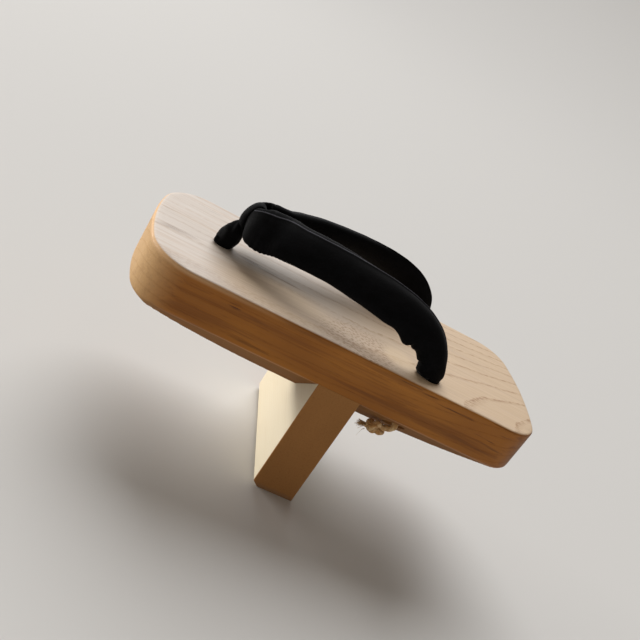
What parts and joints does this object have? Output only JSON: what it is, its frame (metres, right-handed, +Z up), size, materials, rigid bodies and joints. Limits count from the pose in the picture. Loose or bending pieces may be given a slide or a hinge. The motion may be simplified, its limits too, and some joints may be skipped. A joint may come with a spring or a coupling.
{
  "type": "one-tooth geta sandal",
  "caption": "Wooden sandal with a thick boat-bottomed platform on a single cross board, held on by a padded velvet V strap and a toe thong",
  "frame": {"origin": "on the floor, under the middle of the tooth's thickness and width", "axes": "+Z up, +X to the toe along the platform, +Y to the left as worn"},
  "size_m": [0.2446, 0.102, 0.1374],
  "materials": {
    "figured_wood": "planed pale softwood, clear grain along the length, unvarnished satin",
    "plain_wood": "planed cream softwood, unvarnished",
    "black_velvet": "black cotton velvet over padding, with a sewn seam",
    "hemp_cord": "twisted natural bast cord with frayed ends"
  },
  "bodies": {
    "root": {"platform": "figured_wood", "tooth": "plain_wood", "strap": "black_velvet", "toe_thong": "black_velvet", "toe_cord": "hemp_cord", "heel_cord_left": "hemp_cord", "heel_cord_right": "hemp_cord"}
  },
  "joints": []
}
